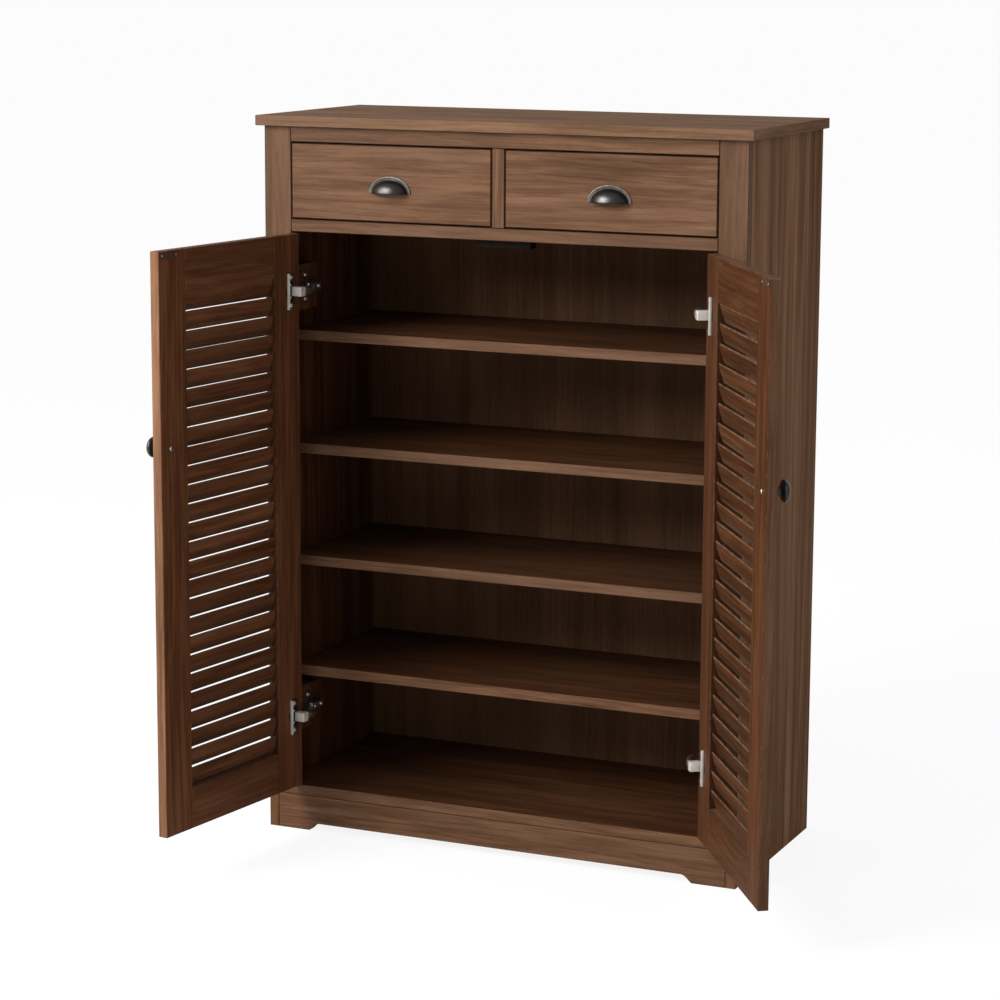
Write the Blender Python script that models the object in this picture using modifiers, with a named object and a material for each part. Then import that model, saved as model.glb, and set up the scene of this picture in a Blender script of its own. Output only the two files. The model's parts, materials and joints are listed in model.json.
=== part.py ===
"""Shoe cabinet: two louvred doors on cranked cup hinges, two drawers above them, five shelf compartments.

Metres, +Z up, front faces -Y, floor at z = 0, origin at the centre of the cabinet's footprint.
The doors are built closed around their hinge line and stored open; the drawers are stored shut.
"""

import math

import bmesh
import bpy
from mathutils import Matrix, Vector

# ---------------------------------------------------------------- driving dimensions
CARCASS_W = 0.800
CARCASS_D = 0.350
HEIGHT = 1.150
BOARD = 0.016
GAP = 0.0003            # glue line left between fixed boards
TOP_OVER_FRONT = 0.012
TOP_OVER_SIDE = 0.010
STILE_W = 0.046
TOP_RAIL_H = 0.024
DRAWER_OPEN_H = 0.121
LOWER_RAIL_H = 0.019
MULLION_W = 0.020
BOTTOM_TOP_Z = 0.074    # upper face of the bottom board
SHELF_FIRST_TOP = 0.260
SHELF_PITCH = 0.1827
SHELF_SETBACK = 0.050   # behind the face frame's front
BACK_T = 0.005
ARCH_H = 0.012
FOOT_W = 0.055
ARCH_RUN = 0.017

DOOR_T = 0.016
DOOR_SIDE_GAP = 0.002
DOOR_END_GAP = 0.0025
DOOR_MEET_GAP = 0.003
DOOR_STILE_W = 0.064
DOOR_RAIL_H = 0.065
SLATS = 26
SLAT_L = 0.030
SLAT_T = 0.0046
SLAT_TILT = math.radians(15.0)   # from vertical, inner edge higher
LOUVRE_STRIP_W = 0.004
LEFT_OPEN = 98.0        # stored opening of each leaf, degrees
RIGHT_OPEN = 124.0
HINGE_IN = 0.0245       # cup centre from the hinge line
HINGE_TOP_DOWN = 0.089  # cup centre below the leaf's top
HINGE_BOTTOM_UP = 0.118
CUP_R = 0.0125
CUP_DEPTH = 0.0113
ARM_R0 = 0.0275
ARM_R1 = 0.0335
ARM_HALF_H = 0.007

KNOB_Z = 0.672
KNOB_FROM_EDGE = 0.024
KNOB_R = 0.016

DRAWER_LEN = 0.294
DRAWER_SIDE_T = 0.012
DRAWER_SIDE_H = 0.090

PULL_W = 0.072
PULL_H = 0.029
PULL_OUT = 0.021

# ---------------------------------------------------------------- derived levels
YF = -CARCASS_D / 2
YB = CARCASS_D / 2
HW = CARCASS_W / 2
TOP_UNDER = HEIGHT - BOARD
Z_TR = TOP_UNDER - TOP_RAIL_H
Z_LR1 = Z_TR - DRAWER_OPEN_H
Z_LR0 = Z_LR1 - LOWER_RAIL_H
BOTTOM_UNDER = BOTTOM_TOP_Z - BOARD
INNER = HW - BOARD                 # inner face of a side panel
OPEN_X = HW - STILE_W              # inner edge of a front stile
Y_IN = YF + BOARD                  # back of the face frame
HINGE_Y = YF
DOOR_Z0 = BOTTOM_TOP_Z + DOOR_END_GAP
DOOR_Z1 = Z_LR0 - DOOR_END_GAP
DOOR_S0 = DOOR_SIDE_GAP
DOOR_S1 = OPEN_X - DOOR_MEET_GAP / 2
HINGE_ZS = {"top": DOOR_Z1 - HINGE_TOP_DOWN, "bottom": DOOR_Z0 + HINGE_BOTTOM_UP}

# ---------------------------------------------------------------- clean start
for _o in list(bpy.data.objects):
    bpy.data.objects.remove(_o, do_unlink=True)

MAIN = bpy.data.collections.new("shoe_cabinet")
CUT = bpy.data.collections.new("cutters")
bpy.context.scene.collection.children.link(MAIN)
bpy.context.scene.collection.children.link(CUT)

WOOD = (0.235, 0.135, 0.085, 1.0)
WOOD_IN = (0.150, 0.080, 0.050, 1.0)
WOOD_SIDE = (0.180, 0.120, 0.085, 1.0)
BACKING = (0.110, 0.060, 0.038, 1.0)
PLY = (0.520, 0.400, 0.270, 1.0)
BLACK = (0.012, 0.011, 0.011, 1.0)
PEWTER = (0.150, 0.140, 0.135, 1.0)
NICKEL = (0.620, 0.600, 0.570, 1.0)
PLASTIC = (0.060, 0.045, 0.038, 1.0)


def principled(name, colour, metallic, rough):
    m = bpy.data.materials.new(name)
    m.use_nodes = True
    b = m.node_tree.nodes["Principled BSDF"]
    b.inputs["Base Color"].default_value = colour
    b.inputs["Metallic"].default_value = metallic
    b.inputs["Roughness"].default_value = rough
    m.diffuse_color = colour
    return m


def dress(obj, colour, metallic=0.0, rough=0.45):
    obj.data.materials.clear()
    obj.data.materials.append(principled(obj.name, colour, metallic, rough))


def put(obj, parent=None):
    for c in list(obj.users_collection):
        c.objects.unlink(obj)
    MAIN.objects.link(obj)
    if parent is not None:
        obj.parent = parent
    return obj


def box_mesh(name, lo, hi):
    """A cuboid mesh centred on its own origin, and that centre."""
    size = Vector(hi) - Vector(lo)
    mid = (Vector(hi) + Vector(lo)) / 2
    bm = bmesh.new()
    bmesh.ops.create_cube(bm, size=1.0)
    bmesh.ops.scale(bm, vec=size, verts=bm.verts)
    me = bpy.data.meshes.new(name)
    bm.to_mesh(me)
    bm.free()
    return me, mid


def bevel(obj, width, segments=1):
    m = obj.modifiers.new("bevel", "BEVEL")
    m.width = width
    m.segments = segments
    m.limit_method = "ANGLE"
    m.angle_limit = math.radians(40)
    return obj


def board(name, lo, hi, colour=WOOD, parent=None, edge=0.0008, metallic=0.0, rough=0.45, segments=1):
    me, mid = box_mesh(name, lo, hi)
    o = bpy.data.objects.new(name, me)
    o.location = mid
    put(o, parent)
    dress(o, colour, metallic, rough)
    if edge:
        bevel(o, edge, segments)
    return o


def cutter(name, mesh, loc=(0, 0, 0), parent=None, rot=None):
    o = bpy.data.objects.new(name, mesh)
    CUT.objects.link(o)
    o.location = loc
    if rot is not None:
        o.rotation_euler = rot
    if parent is not None:
        o.parent = parent
    o.hide_render = True
    o.display_type = "WIRE"
    return o


def box_cutter(name, lo, hi, parent=None):
    me, mid = box_mesh(name, lo, hi)
    return cutter(name, me, mid, parent)


def rod_mesh(name, radius, depth, segments=32, axis="Y"):
    bm = bmesh.new()
    bmesh.ops.create_cone(bm, cap_ends=True, segments=segments, radius1=radius, radius2=radius, depth=depth)
    if axis == "Y":
        bmesh.ops.rotate(bm, cent=(0, 0, 0), matrix=Matrix.Rotation(math.radians(90), 3, "X"), verts=bm.verts)
    if axis == "X":
        bmesh.ops.rotate(bm, cent=(0, 0, 0), matrix=Matrix.Rotation(math.radians(90), 3, "Y"), verts=bm.verts)
    me = bpy.data.meshes.new(name)
    bm.to_mesh(me)
    bm.free()
    return me


def boolean(obj, other, op):
    m = obj.modifiers.new(other.name, "BOOLEAN")
    m.operation = op
    m.solver = "EXACT"
    m.object = other
    return m


def outline_mesh(name, points, half):
    """A flat closed outline in its own XY plane, extruded along local Z by half each way, as a mesh."""
    cu = bpy.data.curves.new(name + "_outline", "CURVE")
    cu.dimensions = "2D"
    cu.fill_mode = "BOTH"
    cu.extrude = half
    sp = cu.splines.new("POLY")
    sp.points.add(len(points) - 1)
    for p, (x, y) in zip(sp.points, points):
        p.co = (x, y, 0.0, 1.0)
    sp.use_cyclic_u = True
    tmp = bpy.data.objects.new(name + "_outline", cu)
    CUT.objects.link(tmp)
    bpy.context.view_layer.update()
    dg = bpy.context.evaluated_depsgraph_get()
    me = bpy.data.meshes.new_from_object(tmp.evaluated_get(dg))
    me.name = name
    bpy.data.objects.remove(tmp, do_unlink=True)
    bm = bmesh.new()
    bm.from_mesh(me)
    bmesh.ops.remove_doubles(bm, verts=bm.verts, dist=1e-6)
    bmesh.ops.recalc_face_normals(bm, faces=bm.faces)
    bm.to_mesh(me)
    bm.free()
    return me


# ---------------------------------------------------------------- carcass
board("top_board", (-HW - TOP_OVER_SIDE, YF - TOP_OVER_FRONT, TOP_UNDER), (HW + TOP_OVER_SIDE, YB, HEIGHT), edge=0.0010, segments=2)

for side, sx in (("left", -1), ("right", 1)):
    x0, x1 = sorted((sx * HW, sx * INNER))
    p = board(f"{side}_side_panel", (x0, YF, 0.0), (x1, YB, TOP_UNDER - GAP), WOOD_SIDE, edge=0)
    # the panel's front edge is notched above the bottom board for the front stile
    c = box_cutter(f"{side}_stile_notch", (x0 - 0.01, YF - 0.01, BOTTOM_TOP_Z), (x1 + 0.01, Y_IN, TOP_UNDER + 0.01))
    boolean(p, c, "DIFFERENCE")
    a0, a1 = sorted((sx * HW, sx * OPEN_X))
    board(f"{side}_front_stile", (a0, YF, BOTTOM_TOP_Z + GAP), (a1, Y_IN - GAP, TOP_UNDER - GAP))

IX = INNER - GAP
board("back_panel", (-IX, YB - 0.001 - BACK_T, BOTTOM_UNDER), (IX, YB - 0.001, TOP_UNDER - GAP), BACKING, edge=0)
Y_BACK = YB - 0.001 - BACK_T - GAP
board("bottom_board", (-IX, YF, BOTTOM_UNDER), (IX, Y_BACK, BOTTOM_TOP_Z))
for i in range(4):
    z1 = SHELF_FIRST_TOP + i * SHELF_PITCH
    board(f"shelf_{i + 1}", (-IX, YF + SHELF_SETBACK, z1 - BOARD), (IX, Y_BACK, z1))
board("drawer_deck", (-IX, Y_IN + GAP, Z_LR1 - BOARD), (IX, Y_BACK, Z_LR1), WOOD_IN)
board("drawer_divider", (-MULLION_W / 2, Y_IN + GAP, Z_LR1 + GAP), (MULLION_W / 2, Y_BACK, TOP_UNDER - GAP), WOOD_IN)
board("centre_mullion", (-MULLION_W / 2, YF, Z_LR1 + GAP), (MULLION_W / 2, Y_IN, Z_TR - GAP))
FX = OPEN_X - GAP
board("top_rail", (-FX, YF, Z_TR), (FX, Y_IN, TOP_UNDER - GAP))
board("lower_rail", (-FX, YF, Z_LR0), (FX, Y_IN, Z_LR1))

# plinth: front board with a shallow cut-out that leaves a foot at each end
ph = BOTTOM_UNDER - GAP
xi = IX - FOOT_W
pts = [(-IX, 0.0), (-xi, 0.0)]
for k in range(1, 6):
    t = k / 5
    pts.append((-xi + ARCH_RUN * t, ARCH_H * math.sin(t * math.pi / 2) ** 1.15))
right = [(-x, z) for x, z in pts[2:]][::-1]
pts = pts + right + [(xi, 0.0), (IX, 0.0), (IX, ph), (-IX, ph)]
me = outline_mesh("front_plinth", pts, BOARD / 2)
me.transform(Matrix.Rotation(math.radians(90), 4, "X"))
o = bpy.data.objects.new("front_plinth", me)
o.location = (0, YF + BOARD / 2, 0)
put(o)
dress(o, WOOD)
board("rear_plinth", (-IX, YB - BOARD, 0.0), (IX, YB, ph), WOOD_IN)
board("centre_foot", (-0.020, -0.100, 0.0), (0.020, 0.100, ph), WOOD_IN)

# double magnetic catch under the drawer deck
mc = board("magnetic_catch", (-0.046, Y_IN + 0.003, Z_LR1 - BOARD - GAP - 0.0155), (0.046, Y_IN + 0.026, Z_LR1 - BOARD - GAP), PLASTIC, edge=0.001, rough=0.5)

# drawer guides: packing strips behind the stiles that keep the drawers running straight
for side, sx in (("left", -1), ("right", 1)):
    a, b = sorted((sx * IX, sx * (OPEN_X - 0.0015)))
    board(f"{side}_drawer_guide", (a, Y_IN + GAP, Z_LR1 + GAP), (b, 0.150, Z_LR1 + 0.034), WOOD_IN)

# hinge packing blocks and hinge mounts on the carcass
for side, sx in (("left", -1), ("right", 1)):
    for lvl, zc in HINGE_ZS.items():
        a, b = sorted((sx * IX, sx * (OPEN_X + GAP)))
        blk = board(f"{side}_{lvl}_hinge_block", (a, Y_IN + GAP, zc - 0.036), (b, YF + 0.085, zc + 0.036), WOOD_IN, edge=0)
        n = box_cutter(f"{side}_{lvl}_block_notch", (a - 0.01, Y_IN - 0.01, zc - 0.0085), (b + 0.01, YF + 0.0355, zc + 0.0085))
        boolean(blk, n, "DIFFERENCE")
        xo = OPEN_X - 0.0001
        a, b = sorted((sx * xo, sx * (xo - 0.002)))
        yc = YF + 0.0430
        m = board(f"{side}_{lvl}_hinge_mount", (a, YF + 0.0360, zc - 0.026), (b, YF + 0.0500, zc + 0.026), NICKEL, edge=0, metallic=1.0, rough=0.28)
        a, b = sorted((sx * (xo - 0.001), sx * (xo - 0.0135)))
        arm = box_cutter(f"{side}_{lvl}_mount_arm", (a, YF + 0.0356, zc - ARM_HALF_H), (b, YF + 0.0780, zc + ARM_HALF_H))
        boolean(m, arm, "UNION")
        a, b = sorted((sx * (xo), sx * (xo - 0.0018)))
        foot = box_cutter(f"{side}_{lvl}_mount_foot", (a, YF + 0.0357, zc - 0.0095), (b, YF + 0.0810, zc + 0.0095))
        boolean(m, foot, "UNION")
        for k in (-1, 1):
            s = cutter(f"{side}_{lvl}_mount_screw_{'a' if k < 0 else 'b'}", rod_mesh("screw", 0.0038, 0.0030, 12, "X"),
                       (sx * (xo - 0.0020), yc, zc + k * 0.0190))
            boolean(m, s, "UNION")


# ---------------------------------------------------------------- doors
def slat_outline():
    """Rounded slat section: x is through the leaf (towards its inner face), y is up."""
    h = (SLAT_L - SLAT_T) / 2
    r = SLAT_T / 2
    out = []
    n = 3
    for end in (1, -1):
        for k in range(n + 1):
            a = (0 if end > 0 else math.pi) + math.pi * k / n
            out.append((r * math.cos(a), end * h + r * math.sin(a)))
    c, s = math.cos(SLAT_TILT), math.sin(SLAT_TILT)
    # lean so that the upper end is towards +x
    return [(x * c + y * s, -x * s + y * c) for x, y in out]


SLAT = slat_outline()
SLAT_HALF_H = max(y for _, y in SLAT)


def knob_mesh(name):
    """Mushroom knob turned about local Z, which points out of the door face; the shank runs through the stile."""
    prof = [
        (0.0000, 0.0235), (0.0060, 0.0232), (0.0110, 0.0220), (0.0145, 0.0196), (0.0160, 0.0165), (0.0156, 0.0142),
        (0.0130, 0.0124), (0.0085, 0.0112), (0.0068, 0.0090), (0.0066, 0.0050), (0.0078, 0.0020), (0.0090, 0.0002),
        (0.0021, 0.0002), (0.0021, -0.0162), (0.0042, -0.0162), (0.0040, -0.0174), (0.0028, -0.0182), (0.0000, -0.0185),
    ]
    me = bpy.data.meshes.new(name)
    bm = bmesh.new()
    vs = [bm.verts.new((x * KNOB_R / 0.016 if x > 0.005 and z > 0 else x, 0, z)) for x, z in prof]
    for a, b in zip(vs, vs[1:]):
        bm.edges.new((a, b))
    bm.to_mesh(me)
    bm.free()
    return me


def make_door(side, sx, stored):
    """One leaf in the frame of its hinge line: local x runs from the hinge line to the meeting edge (times sx)."""
    axis = bpy.data.objects.new(f"{side}_door_axis", None)
    MAIN.objects.link(axis)
    axis.location = (-sx * OPEN_X, HINGE_Y, 0.0)
    axis.rotation_euler = (0, 0, math.radians(-sx * stored))

    def span(s0, s1):
        return sorted((sx * s0, sx * s1))

    def leaf(name, s0, s1, y0, y1, z0, z1, colour=WOOD, edge=0.0008, **kw):
        a, b = span(s0, s1)
        return board(f"{side}_door_{name}", (a, y0, z0), (b, y1, z1), colour, axis, edge, **kw)

    hs = leaf("hinge_stile", DOOR_S0, DOOR_S0 + DOOR_STILE_W, 0, DOOR_T, DOOR_Z0, DOOR_Z1)
    fs = leaf("free_stile", DOOR_S1 - DOOR_STILE_W, DOOR_S1, 0, DOOR_T, DOOR_Z0, DOOR_Z1)
    r0, r1 = DOOR_S0 + DOOR_STILE_W + GAP, DOOR_S1 - DOOR_STILE_W - GAP
    leaf("top_rail", r0, r1, 0, DOOR_T, DOOR_Z1 - DOOR_RAIL_H, DOOR_Z1)
    leaf("bottom_rail", r0, r1, 0, DOOR_T, DOOR_Z0, DOOR_Z0 + DOOR_RAIL_H)

    # louvre: slats let into a thin strip at each end
    lz0, lz1 = DOOR_Z0 + DOOR_RAIL_H + GAP, DOOR_Z1 - DOOR_RAIL_H - GAP
    half = (r1 - r0 - 2 * LOUVRE_STRIP_W) / 2 + 0.001
    me = outline_mesh(f"{side}_door_louvre", SLAT, half)
    # outline x -> leaf y, outline y -> leaf z, extrusion -> leaf x
    me.transform(Matrix(((0, 0, 1, 0), (1, 0, 0, 0), (0, 1, 0, 0), (0, 0, 0, 1))))
    lv = bpy.data.objects.new(f"{side}_door_louvre", me)
    first = lz0 + SLAT_HALF_H + 0.0005
    pitch = (lz1 - lz0 - 2 * SLAT_HALF_H - 0.001) / (SLATS - 1)
    lv.location = (sx * (r0 + r1) / 2, DOOR_T / 2, first)
    put(lv, axis)
    dress(lv, WOOD)
    ar = lv.modifiers.new("slats", "ARRAY")
    ar.use_relative_offset = False
    ar.use_constant_offset = True
    ar.constant_offset_displace = (0, 0, pitch)
    ar.count = SLATS
    for tag, s0 in (("a", r0), ("b", r1 - LOUVRE_STRIP_W)):
        a, b = span(s0, s0 + LOUVRE_STRIP_W)
        boolean(lv, box_cutter(f"{side}_louvre_strip_{tag}", (a, 0.0035, lz0), (b, 0.0125, lz1), axis), "UNION")

    # knob with its shank through the free stile
    ks = sx * (DOOR_S1 - KNOB_FROM_EDGE)
    boolean(fs, cutter(f"{side}_knob_hole", rod_mesh("hole", 0.0024, 0.030, 16, "Y"), (ks, DOOR_T / 2, KNOB_Z), axis), "DIFFERENCE")
    kn = bpy.data.objects.new(f"{side}_door_knob", knob_mesh(f"{side}_door_knob"))
    kn.location = (ks, 0.0, KNOB_Z)
    kn.rotation_euler = (math.radians(90), 0, 0)
    put(kn, axis)
    dress(kn, BLACK, 0.3, 0.3)
    sc = kn.modifiers.new("turn", "SCREW")
    sc.axis = "Z"
    sc.angle = 2 * math.pi
    sc.steps = 20
    sc.render_steps = 20
    sc.use_merge_vertices = True
    sc.merge_threshold = 1e-5
    sc.use_normal_calculate = True
    for poly in kn.data.polygons:
        poly.use_smooth = True

    # strike plate for the magnetic catch
    leaf("strike_plate", DOOR_S1 - 0.038, DOOR_S1 - 0.011, DOOR_T + 0.0001, DOOR_T + 0.0014, DOOR_Z1 - 0.0120, DOOR_Z1 - 0.0020,
         NICKEL, edge=0.0003, metallic=1.0, rough=0.3)

    # cup hinges: cup let into the hinge stile, curved arm about the hinge line
    for lvl, zc in HINGE_ZS.items():
        cx = sx * HINGE_IN
        depth = CUP_DEPTH + 0.0005
        boolean(hs, cutter(f"{side}_{lvl}_cup_hole", rod_mesh("cup_hole", CUP_R + 0.0005, depth + 0.010, 28, "Y"),
                           (cx, DOOR_T - depth + (depth + 0.010) / 2, zc), axis), "DIFFERENCE")
        h = bpy.data.objects.new(f"{side}_door_{lvl}_hinge_cup", rod_mesh("cup", CUP_R, CUP_DEPTH, 28, "Y"))
        h.location = (cx, DOOR_T - CUP_DEPTH / 2 + 0.0002, zc)
        put(h, axis)
        dress(h, NICKEL, 1.0, 0.28)
        yf = DOOR_T + 0.0001
        boolean(h, cutter(f"{side}_{lvl}_rim", rod_mesh("rim", 0.0142, 0.0014, 28, "Y"), (cx, yf + 0.0007, zc), axis), "UNION")
        a, b = span(HINGE_IN - 0.0100, HINGE_IN + 0.0100)
        boolean(h, box_cutter(f"{side}_{lvl}_flange", (a, yf, zc - 0.0285), (b, yf + 0.0014, zc + 0.0285), axis), "UNION")
        boolean(h, cutter(f"{side}_{lvl}_bowl", rod_mesh("bowl", CUP_R - 0.0016, 0.030, 24, "Y"),
                          (cx, DOOR_T - CUP_DEPTH + 0.0016 + 0.015, zc), axis), "DIFFERENCE")
        a, b = span(0.0140, HINGE_IN)
        boolean(h, box_cutter(f"{side}_{lvl}_lug", (a, DOOR_T - CUP_DEPTH + 0.0008, zc - ARM_HALF_H), (b, 0.0300, zc + ARM_HALF_H), axis), "UNION")
        arc = []
        a0, a1, n = math.radians(50), math.radians(142), 9
        for k in range(n + 1):
            t = a0 + (a1 - a0) * k / n
            arc.append((sx * ARM_R1 * math.cos(t), ARM_R1 * math.sin(t)))
        for k in range(n, -1, -1):
            t = a0 + (a1 - a0) * k / n
            arc.append((sx * ARM_R0 * math.cos(t), ARM_R0 * math.sin(t)))
        am = outline_mesh(f"{side}_{lvl}_arm", arc, ARM_HALF_H - 0.0004)
        boolean(h, cutter(f"{side}_{lvl}_arm", am, (0, 0, zc), axis), "UNION")
        for tag, k in (("a", -1), ("b", 1)):
            boolean(h, cutter(f"{side}_{lvl}_cup_screw_{tag}", rod_mesh("cup_screw", 0.0036, 0.0022, 12, "Y"),
                              (cx, yf + 0.0016, zc + k * 0.0225), axis), "UNION")


make_door("left", 1, LEFT_OPEN)
make_door("right", -1, RIGHT_OPEN)


# ---------------------------------------------------------------- drawers
def cup_pull(name, cx, zc):
    """Bin pull: a hood open underneath on a rim that follows its outline; local -y points out of the drawer front."""
    n = 16
    out = [(PULL_W / 2 * math.cos(math.pi * k / n), -PULL_H / 2 + PULL_H * math.sin(math.pi * k / n)) for k in range(n + 1)]
    me = outline_mesh(name, out, 0.0009)
    me.transform(Matrix.Rotation(math.radians(90), 4, "X"))
    o = bpy.data.objects.new(name, me)
    o.location = (cx, YF - 0.0010, zc)
    put(o)
    dress(o, PEWTER, 1.0, 0.35)

    def dome(tag, rx, ry, rz):
        bm = bmesh.new()
        bmesh.ops.create_uvsphere(bm, u_segments=22, v_segments=12, radius=1.0)
        bmesh.ops.rotate(bm, cent=(0, 0, 0), matrix=Matrix.Rotation(math.radians(90), 3, "Y"), verts=bm.verts)
        bmesh.ops.scale(bm, vec=(rx, ry, rz), verts=bm.verts)
        m = bpy.data.meshes.new(name + tag)
        bm.to_mesh(m)
        bm.free()
        return cutter(name + tag, m, (cx, YF - 0.0010, zc - PULL_H / 2))

    boolean(o, dome("_hood", PULL_W / 2 - 0.0035, PULL_OUT, PULL_H - 0.0035), "UNION")
    boolean(o, dome("_hollow", PULL_W / 2 - 0.0055, PULL_OUT - 0.0020, PULL_H - 0.0055), "DIFFERENCE")
    boolean(o, box_cutter(name + "_under", (cx - 0.06, YF - 0.05, zc - PULL_H / 2 - 0.06), (cx + 0.06, YF + 0.05, zc - PULL_H / 2)), "DIFFERENCE")
    boolean(o, box_cutter(name + "_behind", (cx - 0.06, YF - 0.0002, zc - 0.06), (cx + 0.06, YF + 0.05, zc + 0.06)), "DIFFERENCE")
    return o


for side, x0, x1 in (("left", -OPEN_X, -MULLION_W / 2), ("right", MULLION_W / 2, OPEN_X)):
    f0, f1 = x0 + 0.002, x1 - 0.002
    z0 = Z_LR1 + 0.0005
    zf0, zf1 = Z_LR1 + 0.0022, Z_TR - 0.0022
    yb = YF + DRAWER_LEN
    board(f"{side}_drawer_front", (f0, YF, zf0), (f1, Y_IN, zf1), edge=0.0010)
    board(f"{side}_drawer_left_side", (f0, Y_IN + GAP, z0), (f0 + DRAWER_SIDE_T, yb, z0 + DRAWER_SIDE_H), PLY, edge=0)
    board(f"{side}_drawer_right_side", (f1 - DRAWER_SIDE_T, Y_IN + GAP, z0), (f1, yb, z0 + DRAWER_SIDE_H), PLY, edge=0)
    i0, i1 = f0 + DRAWER_SIDE_T + GAP, f1 - DRAWER_SIDE_T - GAP
    board(f"{side}_drawer_back", (i0, yb - DRAWER_SIDE_T, z0 + 0.0045), (i1, yb, z0 + DRAWER_SIDE_H), PLY, edge=0)
    board(f"{side}_drawer_bottom", (i0, Y_IN + GAP, z0 + 0.0025), (i1, yb - DRAWER_SIDE_T - GAP, z0 + 0.0065), PLY, edge=0)
    cup_pull(f"{side}_drawer_cup_pull", (f0 + f1) / 2, (zf0 + zf1) / 2)

bpy.context.view_layer.update()
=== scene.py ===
import json
import math
import random

import bmesh
import bpy
from mathutils import Euler, Matrix, Vector

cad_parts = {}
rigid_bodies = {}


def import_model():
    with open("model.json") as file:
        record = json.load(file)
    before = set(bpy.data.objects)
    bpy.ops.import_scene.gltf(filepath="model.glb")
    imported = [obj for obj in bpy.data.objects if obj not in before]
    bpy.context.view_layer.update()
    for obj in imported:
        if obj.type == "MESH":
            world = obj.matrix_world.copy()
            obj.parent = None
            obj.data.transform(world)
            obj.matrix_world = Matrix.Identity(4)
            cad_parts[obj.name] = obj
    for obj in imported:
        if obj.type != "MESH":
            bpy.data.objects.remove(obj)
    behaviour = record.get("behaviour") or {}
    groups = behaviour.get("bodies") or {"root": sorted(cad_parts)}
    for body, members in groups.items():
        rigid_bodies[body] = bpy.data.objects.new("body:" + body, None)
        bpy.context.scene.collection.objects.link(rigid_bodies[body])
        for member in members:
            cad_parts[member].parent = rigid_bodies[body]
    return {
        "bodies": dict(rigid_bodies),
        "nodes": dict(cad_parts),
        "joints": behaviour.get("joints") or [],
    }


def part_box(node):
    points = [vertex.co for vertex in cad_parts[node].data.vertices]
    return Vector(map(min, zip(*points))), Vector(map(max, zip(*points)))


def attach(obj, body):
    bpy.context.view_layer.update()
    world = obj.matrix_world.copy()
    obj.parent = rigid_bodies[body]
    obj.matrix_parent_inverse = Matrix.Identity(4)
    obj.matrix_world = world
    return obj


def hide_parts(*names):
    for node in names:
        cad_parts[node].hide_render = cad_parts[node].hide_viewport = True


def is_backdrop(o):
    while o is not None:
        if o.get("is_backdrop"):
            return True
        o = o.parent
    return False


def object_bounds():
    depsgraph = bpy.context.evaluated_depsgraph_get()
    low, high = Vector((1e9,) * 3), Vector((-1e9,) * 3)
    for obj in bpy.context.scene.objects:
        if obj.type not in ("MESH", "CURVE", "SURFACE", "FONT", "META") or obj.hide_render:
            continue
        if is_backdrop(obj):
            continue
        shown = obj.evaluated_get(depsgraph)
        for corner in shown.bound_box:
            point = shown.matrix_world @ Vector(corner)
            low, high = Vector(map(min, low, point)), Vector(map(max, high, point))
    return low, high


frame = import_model()
BODIES, NODES = frame["bodies"], frame["nodes"]
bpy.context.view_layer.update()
scene = bpy.context.scene
scene.view_settings.view_transform = "Standard"
scene.view_settings.look = "None"


# ------------------------------------------------------------------ node helpers
class Tree:
    """A thin wrapper that makes and wires nodes."""

    def __init__(self, nt):
        self.nt = nt

    def node(self, kind, **props):
        n = self.nt.nodes.new(kind)
        for k, v in props.items():
            setattr(n, k, v)
        return n

    def put(self, socket, value):
        if isinstance(value, bpy.types.NodeSocket):
            self.nt.links.new(value, socket)
        elif value is not None:
            if hasattr(socket.default_value, "__len__") and not hasattr(value, "__len__"):
                value = [value] * len(socket.default_value)
            if hasattr(value, "__len__") and len(socket.default_value) == 4 and len(value) == 3:
                value = (*value, 1.0)
            socket.default_value = value

    def math(self, op, a, b=None, c=None, clamp=False):
        n = self.node("ShaderNodeMath", operation=op, use_clamp=clamp)
        for i, v in enumerate((a, b, c)):
            if v is not None:
                self.put(n.inputs[i], v)
        return n.outputs[0]

    def vec(self, op, a, b=None, scale=None):
        n = self.node("ShaderNodeVectorMath", operation=op)
        self.put(n.inputs[0], a)
        if b is not None:
            self.put(n.inputs[1], b)
        if scale is not None:
            self.put(n.inputs["Scale"], scale)
        return n.outputs["Value"] if op in ("LENGTH", "DOT_PRODUCT", "DISTANCE") else n.outputs[0]

    def split(self, v):
        n = self.node("ShaderNodeSeparateXYZ")
        self.put(n.inputs[0], v)
        return n.outputs[0], n.outputs[1], n.outputs[2]

    def join(self, x, y, z):
        n = self.node("ShaderNodeCombineXYZ")
        for i, v in enumerate((x, y, z)):
            self.put(n.inputs[i], v)
        return n.outputs[0]

    def noise(self, v, scale=1.0, detail=2.0, rough=0.5, distort=0.0, colour=False):
        n = self.node("ShaderNodeTexNoise")
        self.put(n.inputs["Vector"], v)
        self.put(n.inputs["Scale"], scale)
        self.put(n.inputs["Detail"], detail)
        self.put(n.inputs["Roughness"], rough)
        self.put(n.inputs["Distortion"], distort)
        return n.outputs["Color"] if colour else n.outputs[0]

    def ramp(self, v, lo, hi, to_lo=0.0, to_hi=1.0, smooth=True):
        n = self.node("ShaderNodeMapRange", interpolation_type="SMOOTHSTEP" if smooth else "LINEAR")
        self.put(n.inputs["Value"], v)
        self.put(n.inputs["From Min"], lo)
        self.put(n.inputs["From Max"], hi)
        self.put(n.inputs["To Min"], to_lo)
        self.put(n.inputs["To Max"], to_hi)
        return n.outputs[0]

    def mix(self, f, a, b, kind="RGBA", blend="MIX"):
        n = self.node("ShaderNodeMix", data_type=kind)
        if kind == "RGBA":
            n.blend_type = blend
            i = (0, 6, 7, 2)
        elif kind == "VECTOR":
            i = (0, 4, 5, 1)
        else:
            i = (0, 2, 3, 0)
        self.put(n.inputs[i[0]], f)
        self.put(n.inputs[i[1]], a)
        self.put(n.inputs[i[2]], b)
        return n.outputs[i[3]]


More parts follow.
